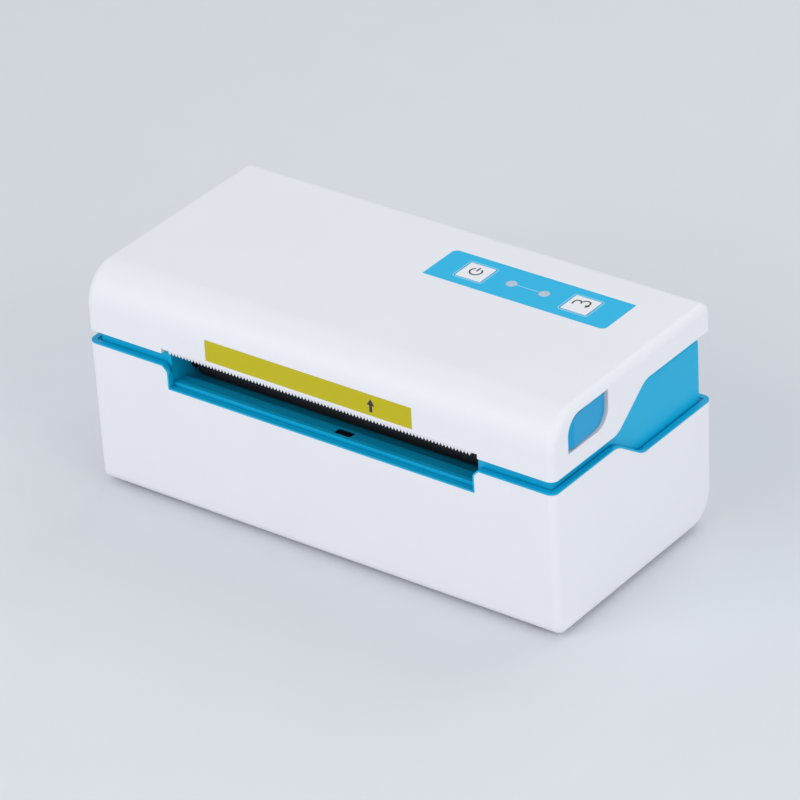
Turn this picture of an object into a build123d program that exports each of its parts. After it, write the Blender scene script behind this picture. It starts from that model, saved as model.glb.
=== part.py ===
"""Desktop thermal label printer, lid closed.

X runs along the width, the front is towards -Y and Z is up. The origin is under the middle of the
printer, on the surface that it stands on. All sizes are in millimetres.
"""

from build123d import *
from math import acos, atan2, cos, hypot, pi, radians, sin, sqrt, tan
import os

os.makedirs("parts", exist_ok=True)

# Overall size
width = 182.0
depth = 88.0
height = 79.5
foot_height = 1.5

# Casing
wall = 2.0
side_round = 2.8
draft = 1.1
inset = 2.7
blue_wall = 1.8
seam_gap = 0.3
lap = 11.0

# Parting lines, below the lid's top in front and at the rear
rim_drop = (26.2, 35.4)
lid_drop = (21.5, 9.8)
seam_drop = (22.0, 12.3)

# Where each parting line steps, from the front
shell_step_from = (34.8, 48.3)
lid_step_from = (35.0, 50.5)
seam_step_from = (35.4, 49.4)
step_radius = 8.0
lid_front_round = 12.5
lid_back_round = 3.6
shell_back_round = 11.0
shell_front_round = 3.6

# Paper exit, with heights below the lid's top and places from the front
slot_width = 120.0
slot_centre = 1.0
notch_drop = 34.4
lip_drop = 32.5
ramp_drop = 0.8
ramp_length = 9.4
lid_notch_extra = 1.6
lid_notch_rise = 1.8
tooth_pitch = 1.27
tooth_height = 1.2
tooth_count = 93

# Platen
platen_from = 17.0
platen_drop = 29.5
roller_radius = 6.0
roller_length = 112.0
shaft_radius = 3.0
cheek_thickness = 3.0
bush_radius = 4.5
running = 0.05
gap = 0.3

# Gears, with the motor's axis behind and below the platen's
gear_module = 0.5
gear_width = 4.0
platen_teeth = 28
idler_teeth = 56
pinion_teeth = 18
gear_backlash = 0.12
pressure_angle = 20.0
motor_behind = 31.0
motor_below = 20.0
motor_size = 35.0
motor_length = 26.0
motor_shaft_radius = 1.5

# Deck and paper guides
deck_drop = 24.5
deck_thickness = 2.0
deck_from = 25.0
trough_drop = 37.5
inlet_drop = 17.5
guide_height = 6.6
guide_thickness = 2.5
guide_spread = 57.0
guide_travel = 30.0
rack_module = 0.7
rack_teeth = 18
rack_from_rear = 30.0

# Lid inside
liner_drop = (10.5, 7.5)
hinge_radius = 2.2
pin_radius = 1.2
hinge_from_side = 17.0
hinge_lug = 8.0
hinge_knuckle = 4.0
head_shaft_radius = 1.5
head_shaft_from = 31.5
head_shaft_drop = 19.5
head_length = 108.0

# Control panel, from its rear left corner
panel_x = 3.0
panel_from_rear = 14.5
panel_size = (69.6, 18.0)
panel_round = 2.0
panel_thickness = 0.4
key_size = (9.6, 9.2)
key_travel = 0.4
key_proud = 0.3
key_x = (14.4, 54.8)
lamp_x = (28.3, 40.8)
lamp_radius = 1.9

# Side windows and the buttons in them
window_from = 8.4
window_length = 21.8
window_drop = 3.0
window_height = 12.3
window_round = 6.5
button_travel = 2.5
button_recess = 0.9

# Screws
screw_radius = 1.5
screw_head = 2.8
screw_head_height = 2.0


# Values worked out from the sizes above
half_width = width / 2
half_depth = depth / 2
shell_rim_front = height - rim_drop[0]
shell_rim_rear = height - rim_drop[1]
lid_edge_front = height - lid_drop[0]
lid_edge_rear = height - lid_drop[1]
seam_front = height - seam_drop[0]
seam_rear = height - seam_drop[1]
shell_step = [reach - half_depth for reach in shell_step_from]
lid_step = [reach - half_depth for reach in lid_step_from]
seam_step = [reach - half_depth for reach in seam_step_from]
shell_floor = foot_height + wall
blue_half_width = half_width - inset
blue_half_depth = half_depth - inset
lid_inner_top = height - wall
slot_left = slot_centre - slot_width / 2
slot_right = slot_centre + slot_width / 2
notch_bottom = height - notch_drop
lip_top = height - lip_drop
ramp_end = ramp_length - half_depth
platen_y = platen_from - half_depth
platen_z = height - platen_drop
motor_y = platen_y + motor_behind
motor_z = platen_z - motor_below
deck_top = height - deck_drop
deck_bottom = deck_top - deck_thickness
deck_front = deck_from - half_depth
trough_floor = height - trough_drop
inlet_top = height - inlet_drop
rack_y = half_depth - rack_from_rear
liner_top_front = height - liner_drop[0]
liner_top_rear = height - liner_drop[1]
hinge_x = half_width - hinge_from_side
hinge_y = blue_half_depth - hinge_radius
hinge_z = seam_rear - hinge_radius
head_shaft_y = head_shaft_from - half_depth
head_shaft_z = height - head_shaft_drop
panel_y = half_depth - panel_from_rear
roller_top = platen_z + roller_radius
skirt_bottom = shell_rim_rear - lap
# Front, bottom, rear and top edges of a side window
window = (
    window_from - half_depth,
    height - window_drop - window_height,
    window_from + window_length - half_depth,
    height - window_drop,
)


def save(name, piece):
    """Labels a finished piece and writes its file."""
    piece.part.label = name
    export_step(piece.part, "parts/" + name + ".step")


def save_group(name, solids):
    """Writes several separate solids as one piece."""
    with BuildPart() as group:
        add(solids)
    save(name, group)


def outline(plane, corners):
    """Closed face on a plane from (first, second, radius) corners."""
    with BuildSketch(plane) as face:
        with BuildLine():
            FilletPolyline(
                *[(first, second) for first, second, _ in corners],
                radius=[radius for _, _, radius in corners],
                close=True,
            )
        make_face()
    return face.sketch


def side_slab(corners, low_x, high_x, mode=Mode.ADD):
    """Profile in the YZ plane, extruded from one X to another in the part being built."""
    extrude(outline(Plane.YZ.offset(low_x), corners), amount=high_x - low_x, mode=mode)


def block(low, high, mode=Mode.ADD):
    """Box between two corners of the part being built."""
    size = [abs(high[axis] - low[axis]) for axis in range(3)]
    middle = (Vector(*low) + Vector(*high)) / 2
    with Locations(middle):
        Box(*size, mode=mode)


def rod(start, axis, length, radius, mode=Mode.ADD):
    """Cylinder from a point along X, Y or Z of the part being built."""
    plane = {"x": Plane.YZ, "y": Plane.XZ.reverse(), "z": Plane.XY}[axis]
    with BuildSketch(Plane(origin=start, x_dir=plane.x_dir, z_dir=plane.z_dir), mode=Mode.PRIVATE) as disc:
        Circle(radius)
    extrude(disc.sketch, amount=length, mode=mode)


def stepped(step, front_z, rear_z, front_y, rear_y, shift=0.0):
    """Corners of a parting line that steps between its front and rear heights."""
    return [
        (front_y, front_z + shift, 0),
        (step[0], front_z + shift, step_radius),
        (step[1], rear_z + shift, step_radius),
        (rear_y, rear_z + shift, 0),
    ]


def end_edges(part, dropped):
    """Edges round the two side faces, without the highest or lowest of them."""
    edges = part.faces().filter_by(Axis.X).edges()
    groups = edges.group_by(Axis.Z)
    left_out = groups[-1] if dropped == "top" else groups[0]
    return [edge for edge in edges if edge not in left_out]


def tooth_angle(radius, base_radius):
    """Involute function of the pressure angle at a radius."""
    pressure = acos(min(1.0, base_radius / radius))
    return tan(pressure) - pressure


def gear_face(teeth, module, phase):
    """Involute gear outline round the origin, with a tooth's middle at the phase angle in radians."""
    pitch_radius = teeth * module / 2
    base_radius = pitch_radius * cos(radians(pressure_angle))
    root_radius = pitch_radius - 1.25 * module
    tip_radius = pitch_radius + 0.95 * module
    half_tooth = (pi * module / 2 - gear_backlash) / (2 * pitch_radius)
    flank = [max(base_radius, root_radius), pitch_radius, tip_radius]
    points = []
    for tooth in range(teeth):
        middle = phase + 2 * pi * tooth / teeth
        sides = [half_tooth + tooth_angle(pitch_radius, base_radius) - tooth_angle(r, base_radius) for r in flank]
        spots = [(root_radius, -sides[0])]
        spots += [(r, -side) for r, side in zip(flank, sides)]
        spots += [(r, side) for r, side in zip(reversed(flank), reversed(sides))]
        spots += [(root_radius, sides[0])]
        if base_radius <= root_radius:
            spots = spots[1:-1]
        points += [(r * cos(middle + turn), r * sin(middle + turn)) for r, turn in spots]
    with BuildSketch() as face:
        with BuildLine():
            Polyline(*points, close=True)
        make_face()
    return face.sketch


def meshed_phase(direction, teeth, phase, next_teeth):
    """Phase of a gear that meshes with another one lying in a direction from the first."""
    share = (direction - phase) * teeth / (2 * pi)
    return direction + pi - (0.5 - share) * 2 * pi / next_teeth


def spur_gear(teeth, phase, centre, bore):
    """Spur gear of the drive train, on an axis along X."""
    with BuildSketch(Plane(origin=(gear_x, centre[0], centre[1]), x_dir=(0, 1, 0), z_dir=(1, 0, 0))) as face:
        add(gear_face(teeth, gear_module, phase))
        Circle(bore, mode=Mode.SUBTRACT)
    extrude(face.sketch, amount=gear_width)


def coil(start, direction, length, radius, wire, turns):
    """Compression spring: one wire wound on a helix along a direction."""
    pitch = (length - 2.2 * wire) / turns
    with BuildPart() as spring:
        with BuildLine() as path:
            Helix(pitch, pitch * turns, radius, Vector(*start) + 1.1 * wire * Vector(*direction), direction)
        with BuildSketch(Plane(origin=path.line @ 0, z_dir=path.line % 0)):
            Circle(wire)
        sweep(is_frenet=True)
    return spring.part


def machine_screw(seat, direction, length, radius=screw_radius, head=screw_head, head_height=screw_head_height):
    """Pan head screw with a cross recess, its shank running from the seat along a direction."""
    seat_plane = Plane(origin=seat, z_dir=direction)
    with BuildPart() as screw:
        with BuildSketch(seat_plane):
            Circle(radius)
        extrude(amount=length)
        with BuildSketch(seat_plane):
            Circle(head)
        extrude(amount=-head_height)
        rim = screw.faces().sort_by(Axis(seat, direction))[0].edges()
        fillet(rim, 0.3 * head_height)
        with BuildSketch(seat_plane.offset(-head_height)):
            Rectangle(head, 0.3 * head)
            Rectangle(0.3 * head, head)
        extrude(amount=0.5 * head_height, mode=Mode.SUBTRACT)
    return screw.part


# Lower shell
case_screw_x = half_width - 12.0
case_screw_y = (8.0 - half_depth, half_depth - 16.0)
post_radius = 4.5
post_top = 14.0
counterbore_top = 10.0
case_screw_length = 12.0
case_screws_at = [(side * case_screw_x, y) for side in (-1, 1) for y in case_screw_y]
board_z = 12.0
board_thickness = 1.6
board_size = (89.0, 44.0)
board_high = (62.0, half_depth - 3 * wall)
board_low = (board_high[0] - board_size[0], board_high[1] - board_size[1])
board_screw_edge = 4.0
board_screws_at = [
    (x, y)
    for x in (board_low[0] + board_screw_edge, board_high[0] - board_screw_edge)
    for y in (board_low[1] + board_screw_edge, board_high[1] - 4 * board_screw_edge)
]
data_socket_x = board_high[0] - 32.0
data_socket_size = (12.0, 15.0, 11.0)
power_socket_x = board_high[0] - 12.0
power_socket_size = (9.0, 13.6, 11.0)
socket_face = half_depth - draft + 0.2
socket_bottom = board_z + board_thickness
notch_ease = 1.8

with BuildPart() as lower_shell:
    side_slab(
        [
            (-half_depth, shell_rim_front + wall, 0),
            (half_depth, shell_rim_front + wall, 0),
            (half_depth - draft, foot_height, shell_back_round),
            (-half_depth + draft, foot_height, shell_front_round),
        ],
        -half_width,
        half_width,
    )
    fillet(end_edges(lower_shell.part, "top"), min(side_round, 0.8 * shell_front_round))
    # Hollow
    side_slab(
        [
            (-half_depth + wall, shell_rim_front + 2 * wall, 0),
            (half_depth - wall, shell_rim_front + 2 * wall, 0),
            (half_depth - draft - wall, shell_floor, shell_back_round - wall),
            (-half_depth + draft + wall, shell_floor, shell_front_round - wall),
        ],
        -half_width + wall,
        half_width - wall,
        Mode.SUBTRACT,
    )
    # Rim, which steps down to the rear
    side_slab(
        stepped(shell_step, shell_rim_front, shell_rim_rear, -depth, depth) + [(depth, height, 0), (-depth, height, 0)],
        -width,
        width,
        Mode.SUBTRACT,
    )
    # Notch of the paper exit, with its upper corners eased
    with BuildSketch(Plane.XZ.offset(half_depth - 2 * wall - draft)):
        with BuildLine():
            FilletPolyline(
                (slot_left, notch_bottom),
                (slot_right, notch_bottom),
                (slot_right, shell_rim_front - notch_ease),
                (slot_right + notch_ease, shell_rim_front),
                (slot_right + notch_ease, height),
                (slot_left - notch_ease, height),
                (slot_left - notch_ease, shell_rim_front),
                (slot_left, shell_rim_front - notch_ease),
                radius=[0.6, 0.6, notch_ease, 0, 0, 0, 0, notch_ease],
                close=True,
            )
        make_face()
    extrude(amount=3 * wall + draft, mode=Mode.SUBTRACT)
    # Posts that carry the base body and the main board
    with BuildSketch(Plane.XY.offset(shell_floor - 0.5 * wall)):
        with Locations(*case_screws_at):
            Circle(post_radius)
    extrude(amount=post_top - shell_floor + 0.5 * wall)
    with BuildSketch(Plane.XY.offset(shell_floor - 0.5 * wall)):
        with Locations(*board_screws_at):
            Circle(post_radius - 1)
    extrude(amount=board_z - shell_floor + 0.5 * wall)
    for x, size in ((data_socket_x, data_socket_size), (power_socket_x, power_socket_size)):
        block(
            (x - size[0] / 2 - gap, half_depth - 3 * wall, socket_bottom - gap),
            (x + size[0] / 2 + gap, depth, socket_bottom + size[2] + gap),
            Mode.SUBTRACT,
        )
    for x, y in case_screws_at:
        rod((x, y, 0), "z", counterbore_top, screw_head + gap, Mode.SUBTRACT)
        rod((x, y, 0), "z", post_top + 1, screw_radius + gap, Mode.SUBTRACT)
    for x, y in board_screws_at:
        rod((x, y, shell_floor), "z", board_z, screw_radius + running, Mode.SUBTRACT)
save("lower_shell", lower_shell)

# Rubber feet
foot_radius = 6.0
foot_x = half_width - 27.0
foot_y = (14.0 - half_depth, half_depth - 20.0)
with BuildPart() as rubber_feet:
    with BuildSketch():
        with Locations(*[(side * foot_x, y) for side in (-1, 1) for y in foot_y]):
            Circle(foot_radius)
    extrude(amount=foot_height)
    chamfer(rubber_feet.edges().group_by(Axis.Z)[0], 0.3 * foot_height)
save("rubber_feet", rubber_feet)

save_group(
    "case_screws",
    [machine_screw((x, y, counterbore_top), (0, 0, 1), case_screw_length) for x, y in case_screws_at],
)

# Base body: blue frame that stands up out of the shell and carries the mechanism
lap_half_width = half_width - wall - gap
lap_half_depth = half_depth - wall - 0.5 * draft
ledge_drop = 0.7
sheet_thickness = 1.6
cheek_left = slot_left - cheek_thickness
cheek_right = slot_right + cheek_thickness
cheek_top = seam_front - 0.5
bush_flange = 1.0
flange_radius = bush_radius + 1.2
gear_x = cheek_left - 3.0 - gear_width
gear_room = 1.0
gear_reach = (platen_teeth / 2 + 1) * gear_module + gear_room
shaft_left = gear_x - 1.0
shaft_right = cheek_right + 3.0
knuckle_reach = hinge_lug / 2 + hinge_knuckle
inlet_half = slot_width / 2 - 2
inlet_rail_box = (
    (slot_centre - inlet_half, blue_half_depth - blue_wall, inlet_top),
    (slot_centre + inlet_half, half_depth, height),
)
arm_y = (window[0] + 6.6, window[0] + 14.6)
arm_x = (half_width - 9.5, half_width - 7.5)
nose_x = arm_x[1] + 1.4
catch_bottom = deck_bottom - 3.0
catch_gap = 0.4
pocket_x = arm_x[0] - button_travel - 1.5
guide_stem = 4.0
stem_offset = 9.0
stem_rows = {-1: rack_y - stem_offset, 1: rack_y + stem_offset}
sensor_at = (slot_centre + 20.0, deck_front + 7.0)
sensor_size = (10.0, 6.0, 5.0)
window_at = (slot_centre + 5.9, 5.9 - half_depth)
window_size = (6.3, 3.4)
window_depth = 1.2
ramp_z = lip_top - ramp_drop * (window_at[1] + blue_half_depth) / (ramp_end + blue_half_depth)
guide_boss_radius = 2.0
guide_boss_bottom = deck_bottom - 5.0

with BuildPart() as base_body:
    side_slab(
        stepped(seam_step, seam_front, seam_rear, -blue_half_depth, blue_half_depth)[:-1]
        + [
            (blue_half_depth, seam_rear, hinge_radius),
            (blue_half_depth, skirt_bottom, 0),
            (-blue_half_depth, skirt_bottom, 0),
        ],
        -blue_half_width,
        blue_half_width,
    )
    fillet(base_body.edges().filter_by(Axis.Z), 0.9 * blue_wall)
    # Wider part below the shell's rim, which makes the narrow ledge along it
    side_slab(
        stepped(shell_step, shell_rim_front, shell_rim_rear, -blue_half_depth, lap_half_depth, -ledge_drop)
        + [(lap_half_depth, skirt_bottom, 0), (-blue_half_depth, skirt_bottom, 0)],
        -lap_half_width,
        lap_half_width,
    )
    # Hollow from top to bottom, before the deck goes in
    block(
        (-blue_half_width + blue_wall, -blue_half_depth + blue_wall, skirt_bottom - 1),
        (blue_half_width - blue_wall, blue_half_depth - blue_wall, height),
        Mode.SUBTRACT,
    )
    # Front wall is open above the lip
    block(
        (slot_left, -depth, lip_top - 0.01),
        (slot_right, -blue_half_depth + 2 * blue_wall, height),
        Mode.SUBTRACT,
    )
    # Lip, ramp, trough of the roller and paper deck in one bent sheet
    side_slab(
        [
            (-blue_half_depth, lip_top, 0.3),
            (ramp_end, lip_top - ramp_drop, 0.6),
            (ramp_end, trough_floor, 1.0),
            (deck_front - sheet_thickness, trough_floor, 1.0),
            (deck_front, deck_top, 1.0),
            (blue_half_depth - 0.5 * blue_wall, deck_top, 0),
            (blue_half_depth - 0.5 * blue_wall, deck_bottom, 0),
            (deck_front + 1.4, deck_bottom, 0.5),
            (deck_front, trough_floor - sheet_thickness, 0.5),
            (ramp_end - sheet_thickness, trough_floor - sheet_thickness, 0.5),
            (ramp_end - sheet_thickness, lip_top - ramp_drop - sheet_thickness, 0.5),
            (-blue_half_depth, lip_top - sheet_thickness, 0),
        ],
        cheek_left,
        cheek_right,
    )
    # Deck outside the cheeks
    for low_x, high_x in (
        (-blue_half_width + 0.5 * blue_wall, cheek_left + 0.5),
        (cheek_right - 0.5, blue_half_width - 0.5 * blue_wall),
    ):
        block(
            (low_x, -blue_half_depth + 0.5 * blue_wall, deck_bottom),
            (high_x, blue_half_depth - 0.5 * blue_wall, deck_top),
        )
    # Cheeks beside the exit, joined to the front wall
    for low_x in (cheek_left, slot_right):
        side_slab(
            [
                (-blue_half_depth + 0.5 * blue_wall, trough_floor - sheet_thickness, 0),
                (deck_front + 1, trough_floor - sheet_thickness, 0),
                (deck_front + 1, cheek_top, 3.0),
                (-blue_half_depth + 0.5 * blue_wall, cheek_top, 0),
            ],
            low_x,
            low_x + cheek_thickness,
        )
        block(
            (low_x, -blue_half_depth, skirt_bottom + 2),
            (low_x + cheek_thickness, -blue_half_depth + blue_wall, seam_front),
        )
        rod((low_x - 1, platen_y, platen_z), "x", cheek_thickness + 2, bush_radius, Mode.SUBTRACT)
    # Posts down to the shell
    for x, y in case_screws_at:
        rod((x, y, post_top), "z", deck_bottom - post_top + 0.5, post_radius - 0.5)
        rod((x, y, post_top - 1), "z", case_screw_length, screw_radius + running, Mode.SUBTRACT)
    # Hinge knuckles on the rear wall, with a notch between them for each lug of the lid
    for side in (-1, 1):
        x = side * hinge_x
        side_slab(
            [
                (hinge_y - hinge_radius, hinge_z - hinge_radius - 3, 0),
                (blue_half_depth - 0.2, hinge_z - hinge_radius - 6, 0),
                (blue_half_depth, seam_rear, hinge_radius),
                (hinge_y - hinge_radius, seam_rear, hinge_radius - 0.1),
            ],
            x - knuckle_reach,
            x + knuckle_reach,
        )
        block(
            (x - hinge_lug / 2 - gap, hinge_y - hinge_radius - 1, hinge_z - hinge_radius - gap),
            (x + hinge_lug / 2 + gap, depth, height),
            Mode.SUBTRACT,
        )
        rod((x - knuckle_reach - 1, hinge_y, hinge_z), "x", 2 * knuckle_reach + 2, pin_radius, Mode.SUBTRACT)
    # Paper inlet through the rear wall
    block(
        (slot_centre - inlet_half, blue_half_depth - 2 * blue_wall, deck_top),
        (slot_centre + inlet_half, depth, inlet_top),
        Mode.SUBTRACT,
    )
    # Slots for the release arms, longer in front because the arms swing forward as the lid lifts
    for side in (-1, 1):
        block(
            (side * pocket_x, arm_y[0] - 3.0, deck_bottom - 1),
            (side * (blue_half_width - blue_wall), arm_y[1] + 1.5, deck_top + 1),
            Mode.SUBTRACT,
        )
        block(
            (side * (nose_x + catch_gap), arm_y[0], catch_bottom),
            (side * (blue_half_width - 0.5 * blue_wall), arm_y[1], catch_bottom + 2),
        )
    # Room for the platen's gear on the left and for its shaft's end on the right
    block(
        (gear_x - gear_room, platen_y - gear_reach, trough_floor - 4),
        (cheek_left, platen_y + gear_reach, height),
        Mode.SUBTRACT,
    )
    block(
        (cheek_right, platen_y - flange_radius - gear_room, trough_floor),
        (shaft_right + gear_room, platen_y + flange_radius + gear_room, height),
        Mode.SUBTRACT,
    )
    # Slots of the guides' stems, the paper sensor's hole and the window's seat in the ramp
    for side, row in stem_rows.items():
        block(
            (slot_centre + side * (guide_spread + guide_thickness), row - guide_stem / 2 - gap, deck_bottom - 1),
            (
                slot_centre + side * (guide_spread - guide_travel - guide_stem - 1),
                row + guide_stem / 2 + gap,
                deck_top + 1,
            ),
            Mode.SUBTRACT,
        )
    block(
        (sensor_at[0] - sensor_size[0] / 2, sensor_at[1] - sensor_size[1] / 2, deck_bottom - 1),
        (sensor_at[0] + sensor_size[0] / 2, sensor_at[1] + sensor_size[1] / 2, deck_top + 1),
        Mode.SUBTRACT,
    )
    block(
        (window_at[0] - window_size[0] / 2, window_at[1] - window_size[1] / 2, ramp_z - window_depth),
        (window_at[0] + window_size[0] / 2, window_at[1] + window_size[1] / 2, ramp_z + 1),
        Mode.SUBTRACT,
    )
    rod(
        (slot_centre, rack_y, guide_boss_bottom), "z", deck_bottom - guide_boss_bottom + 0.5, guide_boss_radius
    )
    base_form = base_body.part
    block(*inlet_rail_box, Mode.SUBTRACT)
save("base_body", base_body)

# Rail over the paper inlet, let into the rear wall
with BuildPart() as inlet_rail:
    add(base_form)
    block(*inlet_rail_box, Mode.INTERSECT)
save("inlet_rail", inlet_rail)

with BuildPart() as exit_sensor_window:
    block(
        (window_at[0] - window_size[0] / 2, window_at[1] - window_size[1] / 2, ramp_z - window_depth),
        (window_at[0] + window_size[0] / 2, window_at[1] + window_size[1] / 2, ramp_z - 0.15),
    )
save("exit_sensor_window", exit_sensor_window)

with BuildPart() as paper_sensor:
    block(
        (sensor_at[0] - sensor_size[0] / 2 + running, sensor_at[1] - sensor_size[1] / 2, deck_top - sensor_size[2]),
        (sensor_at[0] + sensor_size[0] / 2 - running, sensor_at[1] + sensor_size[1] / 2, deck_top),
    )
save("paper_sensor", paper_sensor)

# Platen: shaft, rubber roller and gear turn together in two bushes
with BuildPart() as platen_shaft:
    rod((shaft_left, platen_y, platen_z), "x", shaft_right - shaft_left, shaft_radius)
save("platen_shaft", platen_shaft)

with BuildPart() as platen_roller:
    rod((slot_centre - roller_length / 2, platen_y, platen_z), "x", roller_length, roller_radius)
    rod((slot_centre - roller_length, platen_y, platen_z), "x", 2 * roller_length, shaft_radius, Mode.SUBTRACT)
save("platen_roller", platen_roller)

bushes = []
for low_x, flange_x in ((cheek_left, cheek_left - bush_flange), (slot_right, cheek_right)):
    with BuildPart() as bush:
        rod((low_x, platen_y, platen_z), "x", cheek_thickness, bush_radius)
        rod((flange_x, platen_y, platen_z), "x", bush_flange, flange_radius)
        rod((shaft_left, platen_y, platen_z), "x", shaft_right - shaft_left, shaft_radius + running, Mode.SUBTRACT)
    bushes.append(bush.part)
save_group("platen_bushes", bushes)

# The idler lies where its pitch circle touches those of the platen's gear and the motor's pinion
platen_reach = (platen_teeth + idler_teeth) * gear_module / 2
pinion_reach = (pinion_teeth + idler_teeth) * gear_module / 2
span = hypot(motor_y - platen_y, motor_z - platen_z)
along = (platen_reach**2 - pinion_reach**2 + span**2) / (2 * span)
across = sqrt(max(0.0, platen_reach**2 - along**2))
toward = ((motor_y - platen_y) / span, (motor_z - platen_z) / span)
idler_y = platen_y + along * toward[0] + across * toward[1]
idler_z = platen_z + along * toward[1] - across * toward[0]
to_idler = atan2(idler_z - platen_z, idler_y - platen_y)
to_pinion = atan2(motor_z - idler_z, motor_y - idler_y)
platen_phase = to_idler
idler_phase = meshed_phase(to_idler, platen_teeth, platen_phase, idler_teeth)
pinion_phase = meshed_phase(to_pinion, idler_teeth, idler_phase, pinion_teeth)
stud_radius = 2.0
idler_hub = 1.4

with BuildPart() as platen_gear:
    spur_gear(platen_teeth, platen_phase, (platen_y, platen_z), shaft_radius)
save("platen_gear", platen_gear)

with BuildPart() as idler_gear:
    spur_gear(idler_teeth, idler_phase, (idler_y, idler_z), stud_radius + running)
    rod((gear_x + gear_width - 0.5, idler_y, idler_z), "x", idler_hub + 0.5, 2 * stud_radius)
    rod((gear_x, idler_y, idler_z), "x", 2 * gear_width, stud_radius + running, Mode.SUBTRACT)
save("idler_gear", idler_gear)

with BuildPart() as motor_pinion:
    spur_gear(pinion_teeth, pinion_phase, (motor_y, motor_z), motor_shaft_radius)
save("motor_pinion", motor_pinion)

# Motor on its bracket, which also carries the idler's stud and hangs from the deck by a tab
bracket_thickness = 1.2
bracket_x = cheek_left - gap - bracket_thickness
motor_front = bracket_x + bracket_thickness
motor_boss_radius = 6.0
bracket_margin = 4.5
tab_length = 9.0
tab_y = (rack_y - 3.0, rack_y + 5.0)
motor_screw_radius = 1.3
motor_screw_offset = 11.0
motor_screws_at = [
    (motor_y - motor_screw_offset, motor_z + motor_screw_offset),
    (motor_y + motor_screw_offset, motor_z - motor_screw_offset),
]
with BuildPart() as motor_bracket:
    side_slab(
        [
            (idler_y - bracket_margin, idler_z - bracket_margin, 2),
            (motor_y - motor_size / 2 + 4, motor_z - motor_size / 2, 2),
            (motor_y + motor_size / 2, motor_z - motor_size / 2, 2),
            (motor_y + motor_size / 2, deck_bottom, 0),
            (idler_y - bracket_margin, deck_bottom - bracket_margin, 0),
        ],
        bracket_x,
        motor_front,
    )
    block((bracket_x, tab_y[0], deck_bottom - bracket_thickness), (bracket_x + tab_length, tab_y[1], deck_bottom))
    rod((bracket_x - 1, motor_y, motor_z), "x", 4, motor_boss_radius, Mode.SUBTRACT)
    rod((bracket_x - 1, idler_y, idler_z), "x", 4, stud_radius, Mode.SUBTRACT)
    for y, z in motor_screws_at:
        rod((bracket_x - 1, y, z), "x", 4, motor_screw_radius + running, Mode.SUBTRACT)
save("motor_bracket", motor_bracket)

with BuildPart() as motor:
    block(
        (motor_front, motor_y - motor_size / 2, motor_z - motor_size / 2),
        (motor_front + motor_length, motor_y + motor_size / 2, motor_z + motor_size / 2),
    )
    chamfer(motor.edges().filter_by(Axis.X), 0.1 * motor_size)
    rod((bracket_x, motor_y, motor_z), "x", bracket_thickness + 0.5, motor_boss_radius - running)
    rod((bracket_x - 1, motor_y, motor_z), "x", motor_length, motor_shaft_radius + running, Mode.SUBTRACT)
    for y, z in motor_screws_at:
        rod((bracket_x, y, z), "x", 7, motor_screw_radius + running, Mode.SUBTRACT)
save("motor", motor)

shaft_start = gear_x - 0.5
with BuildPart() as motor_shaft:
    rod((shaft_start, motor_y, motor_z), "x", motor_front + 0.6 * motor_length - shaft_start, motor_shaft_radius)
save("motor_shaft", motor_shaft)

save_group(
    "motor_screws",
    [machine_screw((bracket_x, y, z), (1, 0, 0), 5.0, motor_screw_radius, 2.4, 1.2) for y, z in motor_screws_at],
)

with BuildPart() as idler_stud:
    rod((gear_x - 0.8, idler_y, idler_z), "x", motor_front - gear_x + 0.8, stud_radius)
    rod((gear_x - 1.6, idler_y, idler_z), "x", 0.8, stud_radius + 1)
save("idler_stud", idler_stud)

# Main board with its components and sockets
with BuildPart() as main_board:
    block((board_low[0], board_low[1], board_z), (board_high[0], board_high[1], board_z + board_thickness))
    for x, y in board_screws_at:
        rod((x, y, board_z - 1), "z", 4, screw_radius + 0.1, Mode.SUBTRACT)
save("main_board", main_board)
save_group(
    "board_screws",
    [machine_screw((x, y, socket_bottom), (0, 0, -1), 6.0) for x, y in board_screws_at],
)

# Places and sizes of the processor, memory, capacitor and cable header
components = [
    ((0, 4), (14, 14, 1.6)),
    ((20, 2), (8, 6, 1.4)),
    ((36, 6), (10, 10, 8.0)),
    ((-14, 12), (6, 12, 6.0)),
]
with BuildPart() as board_components:
    for (x, y), (size_x, size_y, size_z) in components:
        block((x - size_x / 2, y - size_y / 2, socket_bottom), (x + size_x / 2, y + size_y / 2, socket_bottom + size_z))
save("board_components", board_components)

data_wall = 0.8
tongue = (5.6, 3.2)
tongue_lift = 3.4
data_low = (data_socket_x - data_socket_size[0] / 2, socket_face - data_socket_size[1], socket_bottom)
data_high = (data_socket_x + data_socket_size[0] / 2, socket_face, socket_bottom + data_socket_size[2])
with BuildPart() as data_socket:
    block(data_low, data_high)
    block(
        (data_low[0] + 2 * data_wall, data_low[1] + 5, data_low[2] + data_wall),
        (data_high[0] - 2 * data_wall, data_high[1] + 1, data_high[2] - 2 * data_wall),
        Mode.SUBTRACT,
    )
    block(
        (data_socket_x - tongue[0] / 2, data_low[1] + 4, data_low[2] + tongue_lift),
        (data_socket_x + tongue[0] / 2, data_high[1] - 1, data_low[2] + tongue_lift + tongue[1]),
    )
save("data_socket", data_socket)

jack_radius = 3.1
jack_pin_radius = 1.0
jack_depth = 10.0
jack_z = socket_bottom + power_socket_size[2] / 2
with BuildPart() as power_socket:
    block(
        (power_socket_x - power_socket_size[0] / 2, socket_face - power_socket_size[1], socket_bottom),
        (power_socket_x + power_socket_size[0] / 2, socket_face, socket_bottom + power_socket_size[2]),
    )
    rod((power_socket_x, socket_face - jack_depth, jack_z), "y", jack_depth + 1, jack_radius, Mode.SUBTRACT)
    rod((power_socket_x, socket_face - jack_depth - 1, jack_z), "y", jack_depth, jack_pin_radius)
save("power_socket", power_socket)

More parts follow.
